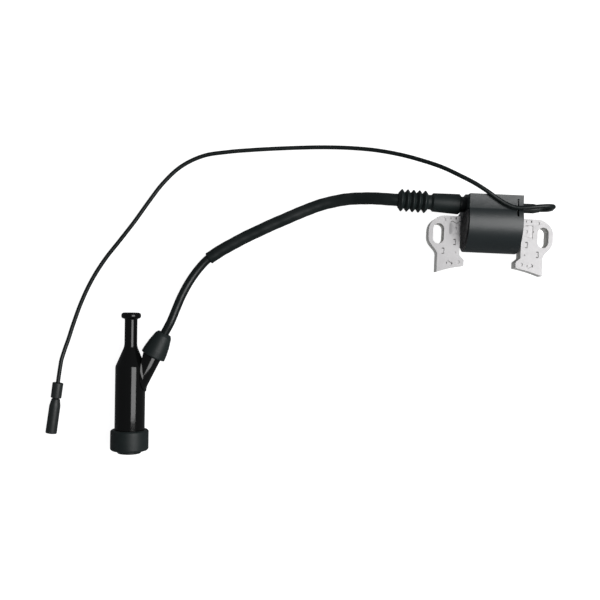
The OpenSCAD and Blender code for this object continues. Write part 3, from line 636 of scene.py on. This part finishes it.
def resin_end(rings=36, sides=120):
    """Lens on the open end: a flat cut circle whose rim waves, raised by lumps that die at the rim."""
    turn = np.linspace(0, 2 * np.pi, sides, endpoint=False)[None, :]
    share = np.linspace(0, 1, rings)[:, None]
    wave = (np.sin(5 * turn + 1) + 0.8 * np.sin(9 * turn + 2.1) + 0.6 * np.sin(17 * turn)) / 2.4
    flat_top = (resin_flat_y - round_y) / np.maximum(np.sin(turn), 1e-3)
    edge = np.minimum(resin_r + 0.45 * mm, np.where(np.sin(turn) > 0, flat_top, 1.0)) + wave * 0.45 * mm
    r = share * edge
    y = round_y + r * np.sin(turn)
    z = round_z + r * np.cos(turn)
    lumps = sum(np.sin(y / mm * a + b) * np.sin(z / mm * c + d) for a, b, c, d in
                ((0.7, 0, 0.9, 1), (1.6, 2, 1.3, 0), (2.9, 1, 2.4, 3), (4.6, 4, 5.1, 2))) / 4
    heap = np.exp(-((y / mm - 2) / 7.5) ** 4 - ((z / mm - 11) / 3.8) ** 2)
    proud = (0.95 + 0.55 * lumps + 1.9 * heap) * np.sqrt(np.clip(1 - share**6, 0, 1))
    front = np.stack([resin_low.x + 0.9 * mm - proud * mm - 0 * y, y, z], -1)
    back = np.stack([np.full_like(y, resin_low.x + 1.15 * mm), y, z], -1)
    points = np.concatenate([front, back[::-1]])
    return points.reshape(-1, 3), grid_faces(2 * rings, sides)


resin = Finish("resin", (0.016, 0.016, 0.017), 0.32, Specular_IOR_Level=0.5)
resin.tint(resin.noise(2, 4).over(0.4, 0.7) * 0.6, (0.03, 0.03, 0.031))
resin.set("Roughness", 0.24 + resin.noise(1.4, 4) * 0.4)
resin.relief(resin.noise(1.5, 3) + resin.noise(0.4, 2) * 0.4, 0.25)
piece("resin_end", [resin_end()], resin, "coil")
nodes["potting_resin"].material_slots[0].material = resin.material


# ---- Bellows boot ----
# Moulded rubber boot pushed over the outlet: a plain grip, a groove, then five soft ribs that let the
# lead bend, with the lead's sleeve tucked into its end.
outlet_tilt = np.radians(1.6)
outlet_way = np.array([-np.cos(outlet_tilt), np.sin(outlet_tilt), 0])
outlet_root = np.array([-15.2, 18.2, 5]) * mm
boot_r = 6.1
rib_r = 6.65
rib_root_r = 4.85
rib_pitch = 3.5
ribs_start = 22.4
outlet_r = 4.72
sleeve_grip_r = 3.95
ribs = []
for k in range(5):
    rib = ribs_start + k * rib_pitch
    ribs += [(rib + 0.08, rib_root_r, 0.3), (rib + 1.45, rib_r, 0.3),
             (rib + 2.0, rib_r, 0.3), (rib + rib_pitch - 0.1, rib_root_r, 0.3)]
boot_outline = rounded([
    (3, outlet_r, 0.1), (3, 5.3, 0.3), (3.9, boot_r, 0.5), (19.3, boot_r - 0.55, 0.4),
    (20.4, 4.4, 0.5), (22.2, 4.35, 0.4), *ribs, (40.1, 4.6, 0.3), (40.1, sleeve_grip_r, 0.1),
    (17.2, sleeve_grip_r, 0.1), (17.2, outlet_r, 0.1)]) * mm

boot_rubber = Finish("boot_rubber", (0.008, 0.0125, 0.0125), 0.4, Specular_IOR_Level=0.34)
boot_rubber.tint(boot_rubber.noise(5, 4).over(0.4, 0.8) * 0.6, (0.013, 0.018, 0.018))
boot_rubber.set("Roughness", 0.4 + boot_rubber.noise(0.9, 4) * 0.2)
boot_rubber.relief(boot_rubber.noise(0.3, 3) * 0.5 + boot_rubber.noise(2.5, 2) * 0.6, 0.07)
boot_axis = [outlet_root, outlet_root + outlet_way * 45 * mm]
piece("bellows_boot_skin", [along(boot_axis, boot_outline, 72, 0.04 * mm)],
      boot_rubber, "coil", ["bellows_boot"])


# ---- Plug cap ----
# Glossy black phenolic moulding shaped like a bottle: a bore for the plug below, a neck with a knob
# to pull it off by, and a branch at the side that the lead screws into.
seal_mount = next(m for m in frame["record"]["mounts"] if m["name"] == "seal_bore")
swivel = next(j for j in frame["joints"] if j["name"] == "cap_swivel")
seal_mount_up = 1.5
swivel_out = 22.1
cap_way = -np.array(seal_mount["axis"])
cap_mouth = np.array(seal_mount["pos_m"]) - cap_way * seal_mount_up * mm
branch_way = np.array(swivel["axis"])
branch_root = np.array(swivel["pos_m"]) - branch_way * swivel_out * mm
cap_r = 9.0
branch_r = 5.25


def at_cap(corners, steps=5):
    """Turned piece on the cap's axis: corners are (distance from the mouth, radius, fillet)."""
    return along([cap_mouth, cap_mouth + cap_way * 90 * mm], rounded(corners, steps) * mm, 96)


def branch_tube(sides=72):
    """Branch whose root starts on the body's round wall and flares into it. Along each straight line
    of the tube the wall is found where its distance from the cap's axis equals the body's radius."""
    side = np.cross(branch_way, [0, 0, 1])
    turn = np.linspace(0, 2 * np.pi, sides, endpoint=False)
    ring = np.cos(turn)[:, None] * side + np.sin(turn)[:, None] * np.array([0, 0, 1])
    start = branch_root + ring * branch_r * mm
    flat_way = branch_way - (branch_way @ cap_way) * cap_way
    flat_start = start - cap_mouth
    flat_start = flat_start - (flat_start @ cap_way)[:, None] * cap_way
    a = flat_way @ flat_way
    b = flat_start @ flat_way
    c = (flat_start**2).sum(1) - (cap_r * mm - 0.15 * mm) ** 2
    hit = (-b + np.sqrt(b * b - a * c)) / a
    leave = np.array([0, 0.25, 0.6, 1.1, 1.8, 2.7, 3.8])[:, None] * mm
    reach = leave.max()
    branch_end = 40 * mm
    flare = 0.9 * mm * (1 - leave / reach) ** 2
    at = np.concatenate([hit[None] + leave, np.full((1, sides), branch_end - 0.3 * mm),
                         np.full((1, sides), branch_end)])
    at = np.maximum.accumulate(at, 0)
    grow = np.concatenate([flare * np.ones((1, sides)), np.zeros((1, sides)), np.full((1, sides), -0.3 * mm)])
    outer = branch_root + ring * (branch_r * mm + grow)[..., None] + at[..., None] * branch_way
    bore = branch_root + ring * (lead_d / 2 + 0.05 * mm) + np.array([40, 14])[:, None, None] * mm * branch_way
    inside = branch_root + ring * branch_r * mm * 0.9 + (hit - 1.5 * mm)[:, None] * branch_way
    points = np.concatenate([outer, bore, inside[None], outer[:1]])
    return points.reshape(-1, 3), grid_faces(len(points), sides)


phenolic = Finish("cap_phenolic", (0.0035, 0.0037, 0.0037), 0.1, Specular_IOR_Level=0.3, Coat_Weight=0.05)
phenolic.set("Roughness", 0.075 + phenolic.noise(3, 4) * 0.09 + phenolic.noise(0.8, 2).over(0.66, 0.8) * 0.12)
phenolic.relief(phenolic.noise(5, 2) + phenolic.noise(0.7, 2) * 0.06, 0.05)
cap_outline = [
    (3.1, 6.5, 0.2), (3.1, cap_r, 0.3), (52.4, cap_r, 4.5), (64.6, 3.8, 9), (81.3, 3.8, 0.7),
    (81.4, 5.9, 1.5), (85, 5.9, 1.6), (85, 0, 0), (34, 0, 0), (34, 2.6, 0.2), (28, 3.9, 0.2),
    (19, 3.9, 0.3), (19, 6.5, 0.2)]
cap_body = piece("cap_body_skin", [at_cap(cap_outline), branch_tube()],
                 phenolic, "plug_cap", ["cap_body"], 45)


# ---- Plug seal ----
# Thick rubber ring stretched over the cap's mouth, with a thinner lip that grips the plug's insulator.
lip_r = 7.3
seal_r = 11.45
on_cap_r = cap_r + 0.02
seal_outline = [
    (0, 5.5, 0.2), (0, 6.8, 0.3), (0.5, lip_r, 0.3), (1.9, lip_r, 0.3), (1.9, 10.7, 0.4), (2.7, seal_r, 0.6),
    (13.4, seal_r, 0.6), (14.2, 10.6, 0.4), (14.2, on_cap_r, 0.1), (3.0, on_cap_r, 0.1), (3.0, 5.5, 0.2)]
cap_seal = piece("cap_seal_skin", [at_cap(seal_outline)], boot_rubber, "plug_cap", ["cap_plug_seal"])


# ---- Branch boot ----
# Small rubber boot that closes the branch's end round the lead. Its cone bulges a little, and its
# lower end has a thin lip.
boot_low = [
    (30.1, 5.3, 0.1), (30.1, 7.35, 0.25), (30.9, 7.5, 0.3), (34, 7.25, 8), (38.5, 6.5, 12),
    (43.9, 5.15, 1.2), (45.5, 4.1, 0.5), (45.5, 2.55, 0.1), (40.2, 2.55, 0.1), (40.2, 5.3, 0.1)]
branch_axis = [branch_root, branch_root + branch_way * 60 * mm]
branch_boot = piece("branch_boot_skin", [along(branch_axis, rounded(boot_low) * mm, 72, 0.05 * mm)],
                    boot_rubber, "branch_boot", ["cap_branch_boot"])


# ---- Pieces inside ----
# Enamelled copper windings on moulded bobbins, a small coated board with its parts, and the brass
# and steel contacts.
copper = Finish("copper_wire", (0.62, 0.24, 0.10), 0.32, Metallic=0.9)
turns = copper.node("ShaderNodeMath", {"operation": "SINE"}, {0: copper.x * 21})
# Painted shade: the grooves between the turns, where the relief dips, are tinted darker.
copper.tint(turns.over(0.2, -0.9) * 0.7, (0.2, 0.06, 0.03))
copper.relief(turns, 0.05)
bobbin_plastic = Finish("bobbin_plastic", (0.62, 0.58, 0.46), 0.45)
bobbin_plastic.tint(bobbin_plastic.noise(4, 3).over(0.4, 0.8) * 0.5, (0.52, 0.47, 0.35))
bobbin_plastic.relief(bobbin_plastic.noise(0.4, 2), 0.03)
laminate = Finish("board_laminate", (0.02, 0.11, 0.04), 0.3)
laminate.tint(laminate.noise(2.5, 1).over(0.5, 0.52) * 0.5, (0.035, 0.2, 0.07))
laminate.relief(laminate.noise(2.5, 1).over(0.5, 0.52), 0.04)
component = Finish("component_body", (0.022, 0.022, 0.023), 0.5)
component.tint(component.noise(1.5, 3).over(0.4, 0.7) * 0.5, (0.035, 0.034, 0.035))
component.relief(component.noise(0.25, 2), 0.03)
brass = Finish("brass_metal", (0.72, 0.52, 0.22), 0.28, Metallic=1.0)
brass.tint(brass.noise(1.8, 4).over(0.45, 0.8) * 0.6, (0.45, 0.30, 0.12))
brass.set("Roughness", 0.2 + brass.noise(0.8, 4) * 0.25)
brass.relief(brass.noise(0.5, 3, (4, 1, 1)), 0.02)
spring = Finish("spring_steel", (0.52, 0.52, 0.53), 0.3, Metallic=1.0)
spring.tint(spring.noise(1.2, 3).over(0.4, 0.8) * 0.5, (0.38, 0.37, 0.37))
spring.relief(spring.noise(0.3, 2), 0.01)
ceramic = Finish("resistor_ceramic", (0.66, 0.6, 0.44), 0.25)
ceramic.tint(ceramic.noise(1.5, 3).over(0.4, 0.8) * 0.4, (0.5, 0.44, 0.3))
ceramic.relief(ceramic.noise(0.8, 2), 0.02)
inner_finishes = {
    copper: ["primary_winding", "secondary_winding", "ht_lead_core"],
    bobbin_plastic: ["primary_bobbin", "secondary_bobbin"],
    laminate: ["ignition_board"],
    component: ["switching_transistor", "board_components"],
    brass: ["lead_contact_pin", "stop_blade", "blade_receptacle", "bullet_receptacle", "cap_lead_screw",
            "cap_contact_block", "cap_plug_socket", "earth_strip"],
    spring: ["cap_contact_spring"],
    ceramic: ["cap_resistor"]}
for finish, names in inner_finishes.items():
    for name in names:
        nodes[name].material_slots[0].material = finish.material
